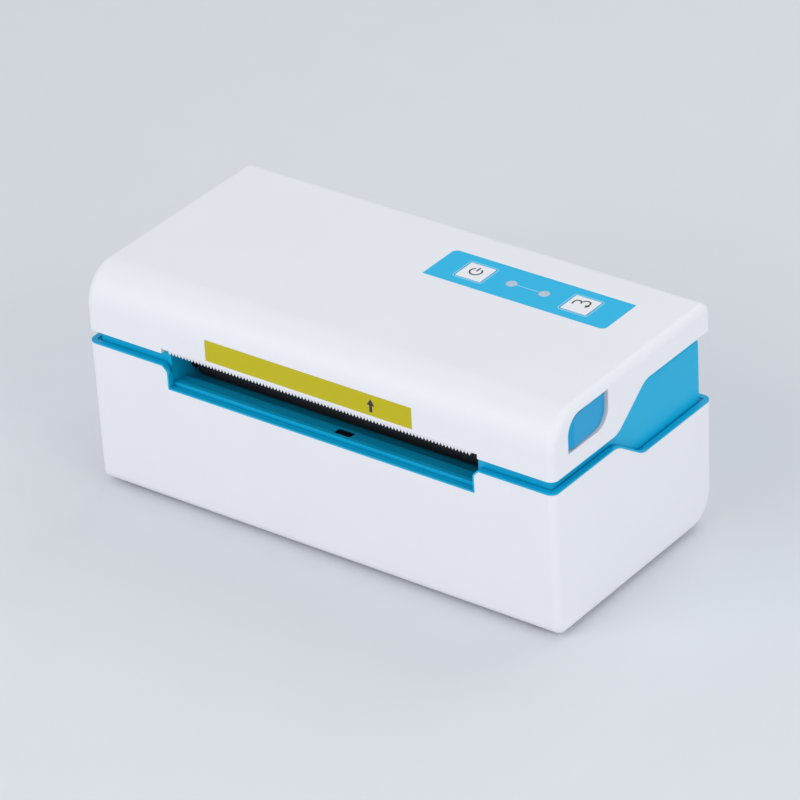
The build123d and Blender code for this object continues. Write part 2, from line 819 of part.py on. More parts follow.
# Paper guides with racks on opposite sides of a pinion
rack_height = 3.0
rack_top = deck_bottom - gap
rack_bottom = rack_top - rack_height
rack_backing = 2.0
pinion_pitch = rack_teeth * rack_module / 2
guide_y = (rack_y - 18.0, rack_y + 19.0)
fence_bottom = deck_top + gap


def paper_guide(side):
    """Upright fence with a stem through the deck, and under it a rack that reaches the pinion."""
    fence_x = slot_centre + side * guide_spread
    row = stem_rows[side]
    face = -side
    pitch_y = rack_y - face * pinion_pitch
    pitch = pi * rack_module
    half_tooth = pitch / 4 - gear_backlash / 4
    slant = tan(radians(pressure_angle)) * 0.9 * rack_module
    root_y = pitch_y - face * 1.2 * rack_module
    tip_y = pitch_y + face * 0.9 * rack_module
    back_y = root_y - face * rack_backing
    spare_teeth = 3
    points = []
    for tooth in range(int((guide_spread + 6) / pitch)):
        middle = slot_centre + side * (tooth - spare_teeth + rack_shift) * pitch
        points += [
            (middle - side * (half_tooth + slant), root_y),
            (middle - side * (half_tooth - slant), tip_y),
            (middle + side * (half_tooth - slant), tip_y),
            (middle + side * (half_tooth + slant), root_y),
        ]
    with BuildPart() as piece:
        block((fence_x, guide_y[0], fence_bottom), (fence_x - side * guide_thickness, guide_y[1], fence_bottom + guide_height))
        block(
            (fence_x, row - guide_stem / 2, rack_bottom),
            (fence_x - side * guide_stem, row + guide_stem / 2, fence_bottom + 1.2),
        )
        with BuildSketch(Plane.XY.offset(rack_bottom)):
            with BuildLine():
                Polyline(*points, (fence_x - side * 0.5, root_y), (fence_x - side * 0.5, back_y), (points[0][0], back_y), close=True)
            make_face()
        extrude(amount=rack_height)
        block(
            (fence_x, min(row - guide_stem / 2, root_y, back_y), rack_bottom),
            (fence_x - side * guide_stem, max(row + guide_stem / 2, root_y, back_y), rack_top),
        )
    return piece


# A rack tooth faces a gap of the pinion, whose first tooth points along +X
quarter_turn_teeth = rack_teeth / 4
rack_shift = 0.5 - (quarter_turn_teeth % 1)
save("guide_left", paper_guide(-1))
save("guide_right", paper_guide(1))

with BuildPart() as guide_pinion:
    with BuildSketch(Plane.XY.offset(rack_bottom)):
        with Locations((slot_centre, rack_y)):
            add(gear_face(rack_teeth, rack_module, 0.0))
            Circle(guide_boss_radius + running, mode=Mode.SUBTRACT)
    extrude(amount=rack_height)
save("guide_pinion", guide_pinion)

# Hinge pins
with BuildPart() as hinge_pins:
    for side in (-1, 1):
        rod((side * hinge_x - knuckle_reach, hinge_y, hinge_z), "x", 2 * knuckle_reach, pin_radius)
save("hinge_pins", hinge_pins)

# Lid cover
lid_notch_half = slot_width / 2 + lid_notch_extra
lid_boss_radius = 3.2
lid_screw_x = half_width - 19.0
lid_screw_y = (11.5 - half_depth, half_depth - 11.0)
lid_screw_radius = 1.25
lid_screws_at = [(side * lid_screw_x, y) for side in (-1, 1) for y in lid_screw_y]
panel_floor = height - panel_thickness
key_y = panel_y - panel_size[1] / 2
key_places = [(panel_x + x, key_y) for x in key_x]
lamp_places = [(panel_x + x, key_y) for x in lamp_x]
panel_corners = [
    (panel_x, panel_y, panel_round),
    (panel_x + panel_size[0], panel_y, 0.3),
    (panel_x + panel_size[0], panel_y - panel_size[1], panel_round),
    (panel_x, panel_y - panel_size[1], 0.3),
]
strip_x = (-42.5, 38.2)
strip_z = (height - 18.7, height - 11.1)
strip_thickness = 0.25
bar_screw_z = lid_edge_front + 4.6
bar_screw_radius = 1.0
bar_screw_spread = slot_width / 2 - 10.0
bar_screws_at = [slot_centre + x for x in (-bar_screw_spread, 0.0, bar_screw_spread)]
window_corners = [
    (window[0], window[1], 0),
    (window[0], window[3], window_round),
    (window[2], window[3], 0),
    (window[2], window[1], window_round),
]


def liner_top(y):
    """Height of the liner's upper face under a lid screw."""
    return liner_top_front if y < 0 else liner_top_rear


def lid_block():
    """Outer form of the lid before it is hollowed."""
    with BuildPart() as form:
        side_slab(
            [
                (-half_depth, lid_edge_front - wall, 0),
                (-half_depth, height, lid_front_round),
                (half_depth, height, lid_back_round),
                (half_depth, lid_edge_front - wall, 0),
            ],
            -half_width,
            half_width,
        )
        fillet(end_edges(form.part, "bottom"), min(side_round, 0.8 * lid_back_round))
    return form.part


def key_openings(low_z, reveal):
    """Cuts the openings of the keys and lamps through the part being built."""
    for x, y in key_places:
        block(
            (x - key_size[0] / 2 - reveal, y - key_size[1] / 2 - reveal, low_z),
            (x + key_size[0] / 2 + reveal, y + key_size[1] / 2 + reveal, height + 1),
            Mode.SUBTRACT,
        )
    for x, y in lamp_places:
        rod((x, y, low_z), "z", height + 1 - low_z, lamp_radius, Mode.SUBTRACT)


lid_form = lid_block()
with BuildPart() as lid_cover:
    add(lid_form)
    # Hollow
    side_slab(
        [
            (-half_depth + wall, lid_edge_front - 2 * wall, 0),
            (-half_depth + wall, lid_inner_top, lid_front_round - wall),
            (half_depth - wall, lid_inner_top, lid_back_round - wall),
            (half_depth - wall, lid_edge_front - 2 * wall, 0),
        ],
        -half_width + wall,
        half_width - wall,
        Mode.SUBTRACT,
    )
    # Lower edge, which steps up to the rear, and its notch over the paper exit
    side_slab(
        stepped(lid_step, lid_edge_front, lid_edge_rear, -depth, depth) + [(depth, 0, 0), (-depth, 0, 0)],
        -width,
        width,
        Mode.SUBTRACT,
    )
    block(
        (slot_centre - lid_notch_half, -depth, 0),
        (slot_centre + lid_notch_half, -half_depth + 2 * wall, lid_edge_front + lid_notch_rise),
        Mode.SUBTRACT,
    )
    side_slab(window_corners, -width, width, Mode.SUBTRACT)
    # Bosses for the screws that hold the liner
    for x, y in lid_screws_at:
        rod((x, y, liner_top(y)), "z", lid_inner_top - liner_top(y) + 0.5 * wall, lid_boss_radius)
        rod((x, y, liner_top(y) - 1), "z", 8.0, lid_screw_radius + running, Mode.SUBTRACT)
    # Seat of the control panel, with openings for its keys and lamps
    extrude(outline(Plane.XY.offset(panel_floor), panel_corners), amount=wall, mode=Mode.SUBTRACT)
    key_openings(lid_inner_top - 1, gap)
    # Seat of the strip on the front
    block((strip_x[0], -depth, strip_z[0]), (strip_x[1], -half_depth + strip_thickness, strip_z[1]), Mode.SUBTRACT)
    for x in bar_screws_at:
        rod((x, -half_depth + 0.3 * wall, bar_screw_z), "y", wall, bar_screw_radius, Mode.SUBTRACT)
save("lid_cover", lid_cover)

with BuildPart() as yellow_strip:
    add(lid_form)
    block((strip_x[0], -depth, strip_z[0]), (strip_x[1], -half_depth + strip_thickness, strip_z[1]), Mode.INTERSECT)
save("yellow_strip", yellow_strip)

# Tear bar: saw teeth under the lid's front edge, on a foot behind its wall
band_top = lid_edge_front + lid_notch_rise
tooth_root = band_top - 0.5
tooth_start = slot_centre - tooth_count * tooth_pitch / 2
bar_half = lid_notch_half - gap
bar_setback = 0.4
bar_foot = 1.2
bar_foot_top = bar_screw_z + 2.4
teeth_line = []
for tooth in range(tooth_count):
    start = tooth_start + tooth * tooth_pitch
    teeth_line += [(start, tooth_root), (start + tooth_pitch / 2, tooth_root - tooth_height)]
with BuildPart() as tear_bar:
    with BuildSketch(Plane.XZ.offset(half_depth - wall)):
        with BuildLine():
            Polyline(
                *teeth_line,
                (tooth_start + tooth_count * tooth_pitch, tooth_root),
                (slot_centre + bar_half, tooth_root),
                (slot_centre + bar_half, band_top),
                (slot_centre - bar_half, band_top),
                (slot_centre - bar_half, tooth_root),
                close=True,
            )
        make_face()
    extrude(amount=wall - bar_setback)
    block(
        (slot_centre - bar_half, -half_depth + wall, tooth_root),
        (slot_centre + bar_half, -half_depth + wall + bar_foot, bar_foot_top),
    )
    for x in bar_screws_at:
        rod((x, -half_depth, bar_screw_z), "y", wall + bar_foot + 1, bar_screw_radius + running, Mode.SUBTRACT)
save("tear_bar", tear_bar)
save_group(
    "tear_bar_screws",
    [
        machine_screw(
            (x, -half_depth + wall + bar_foot, bar_screw_z), (0, -1, 0), 2.4, bar_screw_radius - running, 1.8, 1.2
        )
        for x in bar_screws_at
    ],
)

# Lid liner: blue tray that closes the lid from below and carries the head and the hinge lugs
liner_wall = 1.5
liner_front_round = 6.0
liner_slope = 4.0
head_lug = 2.6
head_lug_x = head_length / 2 + 5.0
head_lug_radius = 3.2
spring_y = window[2] - 2.7
spring_z = window[3] - 4.5
spring_post_x = half_width - 14.5
spring_post = 2.0
flange_back = half_width - 4.7


def lug(centre_y, centre_z, radius, top, low_x, length, bore):
    """Hanging lug with a rounded end round a pin along X."""
    side_slab(
        [
            (centre_y - radius, centre_z - radius, 0.98 * radius),
            (centre_y + radius, centre_z - radius, 0.98 * radius),
            (centre_y + radius, top, 0),
            (centre_y - radius, top, 0),
        ],
        low_x,
        low_x + length,
    )
    rod((low_x - 1, centre_y, centre_z), "x", length + 2, bore, Mode.SUBTRACT)


with BuildPart() as lid_liner:
    side_slab(
        stepped(seam_step, lid_edge_front, seam_rear + seam_gap, -blue_half_depth, blue_half_depth)
        + [
            (blue_half_depth, liner_top_rear, 0),
            (seam_step[1] - liner_slope, liner_top_rear, 0),
            (seam_step[0] - liner_slope, liner_top_front, 0),
            (-blue_half_depth, liner_top_front, liner_front_round),
        ],
        -blue_half_width,
        blue_half_width,
    )
    upright = [edge for edge in lid_liner.edges().filter_by(Axis.Z) if abs(edge.center().Y) > 0.9 * blue_half_depth]
    fillet(upright, 0.9 * blue_wall)
    # Hollow from below
    side_slab(
        [
            (-blue_half_depth + liner_wall, 0, 0),
            (-blue_half_depth + liner_wall, liner_top_front - liner_wall, liner_front_round - liner_wall),
            (seam_step[0] - 0.75 * liner_slope, liner_top_front - liner_wall, 0),
            (seam_step[1] - 0.75 * liner_slope, liner_top_rear - liner_wall, 0),
            (blue_half_depth - liner_wall, liner_top_rear - liner_wall, 0),
            (blue_half_depth - liner_wall, 0, 0),
        ],
        -blue_half_width + liner_wall,
        blue_half_width - liner_wall,
        Mode.SUBTRACT,
    )
    # Front wall is open over the paper exit
    block(
        (slot_centre - lid_notch_half - 1, -depth, 0),
        (slot_centre + lid_notch_half + 1, -blue_half_depth + 2 * liner_wall, bar_foot_top + 1),
        Mode.SUBTRACT,
    )
    # Pockets for the release buttons, and posts behind their springs
    for side in (-1, 1):
        block(
            (side * pocket_x, window[0] - 3.5, window[1] - 2.2),
            (side * width, window[2] + 3.5, height),
            Mode.SUBTRACT,
        )
        block(
            (side * (spring_post_x - spring_post), spring_y - 3, liner_top_front - 0.5 * liner_wall),
            (side * spring_post_x, spring_y + 3, spring_z + 3),
        )
    for side in (-1, 1):
        lug(
            hinge_y,
            hinge_z,
            hinge_radius,
            liner_top_rear - 0.5 * liner_wall,
            side * hinge_x - hinge_lug / 2,
            hinge_lug,
            pin_radius + running,
        )
        lug(
            head_shaft_y,
            head_shaft_z,
            head_lug_radius,
            liner_top_front - 0.5 * liner_wall,
            slot_centre + side * head_lug_x - head_lug / 2,
            head_lug,
            head_shaft_radius,
        )
    for x, y in lid_screws_at:
        rod((x, y, deck_top), "z", height, screw_radius, Mode.SUBTRACT)
save("lid_liner", lid_liner)
save_group(
    "lid_screws",
    [machine_screw((x, y, liner_top(y) - liner_wall), (0, 0, 1), 7.0, lid_screw_radius) for x, y in lid_screws_at],
)

# Release buttons in the side windows, each with an arm down to its latch nose
face_x = half_width - button_recess
ridge_y = window[0] + 3.6
bridge = (window[1] + 0.6, window[1] + 3.4)
arm_bottom = catch_bottom - 4.0
flange_edge = 1.6


def release_button():
    """Button of the right side."""
    with BuildPart() as button:
        side_slab(
            [
                (window[0] + gap, window[1] + gap, 0),
                (window[0] + gap, window[3] - gap, window_round - gap),
                (window[2] - gap, window[3] - gap, 0),
                (window[2] - gap, window[1] + gap, window_round - gap),
            ],
            flange_back,
            face_x,
        )
        # The face falls away to both sides of an upright ridge
        with BuildSketch(Plane.XY.offset(window[1] - 1)):
            with BuildLine():
                FilletPolyline(
                    (face_x + 1, window[0] - 1),
                    (face_x + 1, window[2] + 1),
                    (face_x - 2.0, window[2] + 1),
                    (face_x, ridge_y),
                    (face_x - 1.2, window[0] - 1),
                    radius=[0, 0, 0, 0.8, 0],
                    close=True,
                )
            make_face()
        extrude(amount=window[3] - window[1] + 2, mode=Mode.SUBTRACT)
        # Flange that stops behind the lid's wall
        side_slab(
            [
                (window[0] - flange_edge, window[1] - 0.9 * flange_edge, 1),
                (window[0] - flange_edge, window[3] + 0.1 * flange_edge, 4),
                (window[2] + flange_edge, window[3] + 0.1 * flange_edge, 1),
                (window[2] + flange_edge, window[1] - 0.9 * flange_edge, 4),
            ],
            flange_back,
            half_width - wall - gap,
        )
        block((arm_x[0], arm_y[0], bridge[0]), (flange_back + 0.5, arm_y[1], bridge[1]))
        block((arm_x[0], arm_y[0], arm_bottom), (arm_x[1], arm_y[1], bridge[1]))
        with BuildSketch(Plane.XZ.offset(-arm_y[1])):
            with BuildLine():
                Polyline(
                    (arm_x[1] - 0.5, arm_bottom),
                    (arm_x[1], arm_bottom),
                    (nose_x, catch_bottom - 1),
                    (nose_x, catch_bottom - catch_gap),
                    (arm_x[1] - 0.5, catch_bottom - catch_gap),
                    close=True,
                )
            make_face()
        extrude(amount=arm_y[1] - arm_y[0])
    return button


release_button_right = release_button()
save("release_button_right", release_button_right)
with BuildPart() as release_button_left:
    mirror(release_button_right.part, about=Plane.YZ)
save("release_button_left", release_button_left)

spring_radius = 2.0
spring_wire = 0.3
release_coil = coil(
    (spring_post_x, spring_y, spring_z), (1, 0, 0), flange_back - spring_post_x, spring_radius, spring_wire, 6
)
save_group("release_spring_right", [release_coil])
with BuildPart() as release_spring_left:
    mirror(release_coil, about=Plane.YZ)
save("release_spring_left", release_spring_left)

# Print head, which tips on its own shaft under the liner
head_bottom = roller_top + gap
strip_height = 1.0
sink_bottom = head_bottom + strip_height
sink_height = 3.0
sink_slot = 1.2
sink_pitch = 2.6
plate_bottom = sink_bottom + sink_height
plate_top = plate_bottom + 1.5
head_y = (platen_y - 9.0, platen_y + 10.0)
head_low_x = slot_centre - head_length / 2
head_high_x = slot_centre + head_length / 2
with BuildPart() as print_head_strip:
    block((head_low_x, head_y[0], head_bottom), (head_high_x, head_y[1], sink_bottom))
save("print_head_strip", print_head_strip)

with BuildPart() as heat_sink:
    block((head_low_x, head_y[0] - 0.6, sink_bottom), (head_high_x, head_y[1] + 1, plate_bottom))
    for slot in range(int((head_y[1] - head_y[0]) / sink_pitch)):
        slot_y = head_y[0] + 1.4 + slot * sink_pitch
        block(
            (head_low_x - 1, slot_y, sink_bottom + 0.4 * sink_height),
            (head_high_x + 1, slot_y + sink_slot, plate_bottom + 1),
            Mode.SUBTRACT,
        )
save("heat_sink", heat_sink)

ear_x = head_length / 2 + 1.4
ear_thickness = 1.2
ear_radius = 3.0
bracket_half = ear_x + ear_thickness
with BuildPart() as head_bracket:
    block((slot_centre - bracket_half, head_y[0], plate_bottom), (slot_centre + bracket_half, head_shaft_y, plate_top))
    for low_x in (slot_centre - bracket_half, slot_centre + ear_x):
        side_slab(
            [
                (head_y[1], head_shaft_z - ear_radius, 1),
                (head_shaft_y + ear_radius, head_shaft_z - ear_radius, 0.95 * ear_radius),
                (head_shaft_y + ear_radius, plate_top, 0.5 * ear_radius),
                (head_y[1], plate_top, 0),
            ],
            low_x,
            low_x + ear_thickness,
        )
    rod(
        (slot_centre - bracket_half - 1, head_shaft_y, head_shaft_z),
        "x",
        2 * bracket_half + 2,
        head_shaft_radius + running,
        Mode.SUBTRACT,
    )
save("head_bracket", head_bracket)

head_shaft_half = head_lug_x + head_lug / 2 + 0.5
with BuildPart() as head_shaft:
    rod((slot_centre - head_shaft_half, head_shaft_y, head_shaft_z), "x", 2 * head_shaft_half, head_shaft_radius)
save("head_shaft", head_shaft)

head_spring_room = liner_top_front - liner_wall - plate_top
head_spring_radius = 2.6
head_spring_wire = 0.35
save_group(
    "head_springs",
    [
        coil(
            (slot_centre + side * head_length / 4, platen_y, plate_top),
            (0, 0, 1),
            head_spring_room,
            head_spring_radius,
            head_spring_wire,
            4,
        )
        for side in (-1, 1)
    ],
)

# Control panel, its keys and lamps, and the key board under them
with BuildPart() as control_panel:
    extrude(outline(Plane.XY.offset(panel_floor), panel_corners), amount=panel_thickness)
    key_openings(panel_floor - 1, gap)
save("control_panel", control_panel)

key_rim = 1.0
key_rim_top = lid_inner_top - gap
key_board_top = liner_top_rear + 2.4
key_board_thickness = 1.2
key_board_edge = 5.0
switch_half = 3.0
switch_top = key_rim_top - key_rim - key_travel - 0.5 * gap
lamp_base = 0.6


def key_cap(place):
    """Key cap with a rim that stops it under the lid."""
    x, y = place
    half_x = key_size[0] / 2
    half_y = key_size[1] / 2
    with BuildPart() as cap:
        block((x - half_x, y - half_y, key_rim_top - key_rim), (x + half_x, y + half_y, height + key_proud))
        fillet(cap.edges().group_by(Axis.Z)[-1], 0.8 * key_proud)
        block(
            (x - half_x - key_rim, y - half_y - key_rim, key_rim_top - key_rim),
            (x + half_x + key_rim, y + half_y + key_rim, key_rim_top),
        )
    return cap


save("power_key", key_cap(key_places[0]))
save("feed_key", key_cap(key_places[1]))

with BuildPart() as indicator_lenses:
    for x, y in lamp_places:
        rod((x, y, key_board_top + lamp_base), "z", height - key_board_top - lamp_base, lamp_radius)
save("indicator_lenses", indicator_lenses)

with BuildPart() as key_board:
    block(
        (panel_x + key_board_edge, key_y - 7, key_board_top - key_board_thickness),
        (panel_x + panel_size[0] - key_board_edge, key_y + 7, key_board_top),
    )
    # Legs down to the liner
    for x in (panel_x + 2 * key_board_edge, panel_x + panel_size[0] - 2 * key_board_edge):
        rod((x, key_y + 5, liner_top_rear), "z", key_board_top - key_board_thickness - liner_top_rear, screw_radius)
save("key_board", key_board)

with BuildPart() as key_board_parts:
    for x, y in key_places:
        block((x - switch_half, y - switch_half, key_board_top), (x + switch_half, y + switch_half, switch_top))
    for x, y in lamp_places:
        block((x - 1.6, y - 0.8, key_board_top), (x + 1.6, y + 0.8, key_board_top + lamp_base))
save("key_board_parts", key_board_parts)
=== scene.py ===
"""Looks of a desktop thermal label printer, lid closed.

The CAD solids carry the shapes. This script gives them their finishes. It adds the bead on the shell's
rim, the faces of the release buttons, what is printed on the keys, the panel and the strip, the legs of
the chips, the floor, the lights and the camera. Lengths are in metres, unless a comment gives
millimetres, X to the right, the front towards -Y, Z up.
"""

import math

import bmesh
import bpy
from mathutils import Matrix, Vector


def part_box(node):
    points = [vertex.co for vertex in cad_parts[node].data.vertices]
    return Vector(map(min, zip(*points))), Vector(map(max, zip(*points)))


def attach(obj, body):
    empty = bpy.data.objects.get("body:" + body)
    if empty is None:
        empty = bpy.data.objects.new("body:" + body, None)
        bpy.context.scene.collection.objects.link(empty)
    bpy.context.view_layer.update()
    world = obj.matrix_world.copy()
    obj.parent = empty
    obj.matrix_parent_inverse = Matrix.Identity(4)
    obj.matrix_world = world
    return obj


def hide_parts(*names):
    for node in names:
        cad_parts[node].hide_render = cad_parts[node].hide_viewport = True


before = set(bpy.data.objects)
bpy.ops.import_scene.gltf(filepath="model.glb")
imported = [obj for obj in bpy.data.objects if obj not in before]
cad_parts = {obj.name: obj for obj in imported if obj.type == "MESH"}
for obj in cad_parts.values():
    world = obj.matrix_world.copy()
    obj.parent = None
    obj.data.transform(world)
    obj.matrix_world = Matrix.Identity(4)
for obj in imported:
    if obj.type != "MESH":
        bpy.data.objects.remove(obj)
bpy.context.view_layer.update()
scene = bpy.context.scene
mm = 0.001

# Every finish changes its tone slowly, in patches of this size
tone_patch = 24 * mm

# Sockets of the Mix node where it mixes colours
mix_factor = 0
mix_a = 6
mix_b = 7
mix_result = 2


# Nodes and materials
def linear(hex_colour):
    """Linear RGBA of an sRGB hex colour."""
    channels = [int(hex_colour[start : start + 2], 16) / 255 for start in (1, 3, 5)]
    return [c / 12.92 if c <= 0.04045 else ((c + 0.055) / 1.055) ** 2.4 for c in channels] + [1.0]


def shaded(hex_colour, factor):
    """Linear RGBA of an sRGB hex colour, made lighter or darker by a factor."""
    return [min(1.0, channel * factor) for channel in linear(hex_colour)[:3]] + [1.0]


def add_node(tree, kind, inputs=None, **settings):
    """Adds a node with its settings, and gives its inputs values or links them to sockets."""
    node = tree.nodes.new(kind)
    for name, value in settings.items():
        setattr(node, name, value)
    for name, value in (inputs or {}).items():
        if isinstance(value, bpy.types.NodeSocket):
            tree.links.new(value, node.inputs[name])
        else:
            node.inputs[name].default_value = value
    return node


def finish(
    name, colour, roughness, grain, depth, stretch=(1, 1, 1), tone=0.03, spread=0.05, edge=0.0, shader=None
):
    """Material of one colour with a fine surface grain, a slow change of tone and an uneven gloss.

    grain is the width and depth the height of the surface's grain in millimetres, and stretch squeezes
    it along each axis. edge is the radius in millimetres that rounds the hard corners.
    """
    material = bpy.data.materials.new(name)
    material.use_nodes = True
    tree = material.node_tree
    tree.nodes.clear()
    place = add_node(tree, "ShaderNodeTexCoord").outputs["Object"]
    squeezed = add_node(tree, "ShaderNodeMapping", {"Vector": place, "Scale": stretch}).outputs["Vector"]
    fine = add_node(
        tree, "ShaderNodeTexNoise", {"Vector": squeezed, "Scale": 1 / (grain * mm), "Detail": 3.0}
    ).outputs["Fac"]
    slow = add_node(
        tree, "ShaderNodeTexNoise", {"Vector": place, "Scale": 1 / tone_patch, "Detail": 2.0}
    ).outputs["Fac"]
    tinted = add_node(
        tree,
        "ShaderNodeMix",
        {mix_factor: slow, mix_a: shaded(colour, 1 - tone), mix_b: shaded(colour, 1 + tone)},
        data_type="RGBA",
    ).outputs[mix_result]
    gloss = add_node(
        tree,
        "ShaderNodeMapRange",
        {
            "Value": slow,
            "From Min": 0.3,
            "From Max": 0.7,
            "To Min": roughness - spread,
            "To Max": roughness + spread,
        },
    ).outputs["Result"]
    relief = add_node(tree, "ShaderNodeBump", {"Height": fine, "Distance": depth * mm, "Strength": 1.0})
    if edge > 0:
        rounded = add_node(tree, "ShaderNodeBevel", {"Radius": edge * mm}, samples=6).outputs["Normal"]
        tree.links.new(rounded, relief.inputs["Normal"])
    surface = {"Base Color": tinted, "Roughness": gloss, "Normal": relief.outputs["Normal"]}
    surface.update(shader or {})
    principled = add_node(tree, "ShaderNodeBsdfPrincipled", surface)
    add_node(tree, "ShaderNodeOutputMaterial", {"Surface": principled.outputs["BSDF"]})
    return material


def repaint(material, build_colour):
    """Puts another colour on a finish: build_colour gets the tree, the coordinates and the old one."""
    tree = material.node_tree
    principled = next(node for node in tree.nodes if node.type == "BSDF_PRINCIPLED")
    place = next(node for node in tree.nodes if node.type == "TEX_COORD").outputs["Object"]
    old = principled.inputs["Base Color"].links[0].from_socket
    tree.links.new(build_colour(tree, place, old), principled.inputs["Base Color"])


# Moulded ABS has a fine spark-eroded grain of about 0.3 mm, which gives it a satin sheen
white_abs = finish("moulded_white_abs", "#EFF0F4", 0.42, 0.35, 0.006, tone=0.012, edge=0.25)
blue_abs = finish(
    "moulded_blue_abs",
    "#06B2DE",
    0.38,
    0.35,
    0.006,
    edge=0.25,
    shader={"Specular IOR Level": 0.3},
)

# The buttons come from a polished mould, so they mirror the lights more than the body does
button_abs = finish(
    "polished_blue_abs",
    "#04A0D4",
    0.24,
    0.5,
    0.003,
    edge=0.4,
    shader={"Specular IOR Level": 0.25},
)
key_abs = finish("moulded_key_abs", "#F1F2F4", 0.36, 0.3, 0.004, tone=0.01, edge=0.2)

# Printed polyester film is flatter and smoother than the plastic under it
panel_film = finish(
    "printed_blue_film", "#04BAE8", 0.33, 0.2, 0.002, tone=0.015, shader={"Specular IOR Level": 0.4}
)
strip_film = finish(
    "printed_yellow_film", "#C6BA06", 0.36, 0.2, 0.002, tone=0.02, shader={"Specular IOR Level": 0.3}
)

# Screen-printed ink lies matt on the film
pale_ink = finish("printed_pale_ink", "#9ADCF8", 0.45, 0.2, 0.001, tone=0.02)
black_ink = finish("printed_black_ink", "#23262B", 0.45, 0.2, 0.001, tone=0.05)

# Frosted polycarbonate lets the lamps' light through and looks milky when they are off
lens = finish(
    "frosted_polycarbonate",
    "#BCCEDC",
    0.4,
    0.3,
    0.004,
    shader={
        "IOR": 1.58,
        "Subsurface Weight": 0.4,
        "Subsurface Radius": (2 * mm, 2 * mm, 2 * mm),
        "Subsurface Scale": 1.0,
    },
)

# Infrared-pass polycarbonate is black to the eye and polished
sensor_plastic = finish(
    "polished_black_polycarbonate", "#0B0B0D", 0.12, 0.6, 0.001, shader={"IOR": 1.58}
)

# The platen's silicone rubber is ground round and has rings finer than the render shows, drawn at 0.25 mm
platen_rubber = finish(
    "ground_silicone_rubber", "#0E0F11", 0.62, 0.25, 0.02, stretch=(1, 0.05, 0.05), tone=0.1
)

# The feet are moulded in dull rubber
foot_rubber = finish("moulded_rubber", "#17181A", 0.75, 0.5, 0.03, tone=0.08, edge=0.15)

metal = {"Metallic": 1.0}

# Shafts are ground, with faint rings round their axes, drawn at 0.3 mm
ground_steel = finish(
    "ground_steel", "#B9BBBE", 0.24, 0.3, 0.004, stretch=(1, 0.04, 0.04), tone=0.06, shader=metal
)

# Wire, brass and the thin coats on sheet and screws keep the gloss of the metal, and oxide dulls it
spring_steel = finish("drawn_spring_steel", "#A3A5A8", 0.3, 0.2, 0.004, tone=0.08, shader=metal)
zinc_plate = finish("zinc_plated_steel", "#C5C6C4", 0.32, 0.4, 0.006, tone=0.08, shader=metal)
black_oxide = finish("black_oxide_steel", "#2B2C2F", 0.4, 0.4, 0.008, tone=0.12, shader=metal)
galvanised = finish("galvanised_sheet_steel", "#B4B8BC", 0.34, 0.5, 0.006, tone=0.06, shader=metal)
nickel_plate = finish("nickel_plated_shell", "#C9C7C1", 0.22, 0.5, 0.003, tone=0.04, shader=metal)
brass = finish("hobbed_brass", "#C8A24E", 0.28, 0.3, 0.006, tone=0.06, shader=metal)

# Extrusion leaves fine lines along the heat sink
aluminium = finish(
    "extruded_aluminium", "#C3C5C8", 0.3, 0.4, 0.008, stretch=(0.03, 1, 1), tone=0.05, shader=metal
)

# Acetal gears and bushes are waxy, with little gloss
natural_acetal = finish("moulded_natural_acetal", "#E4E3DC", 0.48, 0.4, 0.005, tone=0.03, edge=0.08)
black_acetal = finish("moulded_black_acetal", "#141416", 0.46, 0.4, 0.005, tone=0.06, edge=0.1)

# Enamel is smooth with a slight ripple, moulded epoxy is matt, and solder mask is a glossy lacquer
motor_paint = finish("baked_black_enamel", "#1A1B1D", 0.35, 0.6, 0.02, tone=0.08, edge=0.3)
epoxy = finish("moulded_black_epoxy", "#1B1B1D", 0.55, 0.25, 0.01, tone=0.08)
solder_mask = finish("green_solder_mask", "#0C4A2A", 0.3, 0.6, 0.004, tone=0.05)

# The print head's glaze is as smooth as glass
glazed_ceramic = finish("glazed_alumina", "#A8988A", 0.14, 0.8, 0.002, tone=0.04)


def spangle(tree, place, old):
    """Crystals that the zinc bath leaves on sheet steel."""
    crystal = 5 * mm
    cells = add_node(tree, "ShaderNodeTexVoronoi", {"Vector": place, "Scale": 1 / crystal})
    grey = add_node(tree, "ShaderNodeRGBToBW", {"Color": cells.outputs["Color"]}).outputs["Val"]
    shade = add_node(
        tree, "ShaderNodeMapRange", {"Value": grey, "To Min": 0.82, "To Max": 1.08}
    ).outputs["Result"]
    return add_node(
        tree,
        "ShaderNodeMix",
        {mix_factor: 1.0, mix_a: old, mix_b: shade},
        data_type="RGBA",
        blend_type="MULTIPLY",
    ).outputs[mix_result]


def traces(tree, place, old):
    """Copper tracks of about 0.4 mm under the solder mask, a little lighter than the laminate."""
    spacing = 3.2 * mm
    half_track = 0.06
    track_green = linear("#1B6B3E")
    cells = add_node(
        tree,
        "ShaderNodeTexVoronoi",
        {"Vector": place, "Scale": 1 / spacing},
        feature="DISTANCE_TO_EDGE",
    )
    track = add_node(
        tree, "ShaderNodeMath", {0: cells.outputs["Distance"], 1: half_track}, operation="LESS_THAN"
    ).outputs["Value"]
    return add_node(
        tree, "ShaderNodeMix", {mix_factor: track, mix_a: old, mix_b: track_green}, data_type="RGBA"
    ).outputs[mix_result]


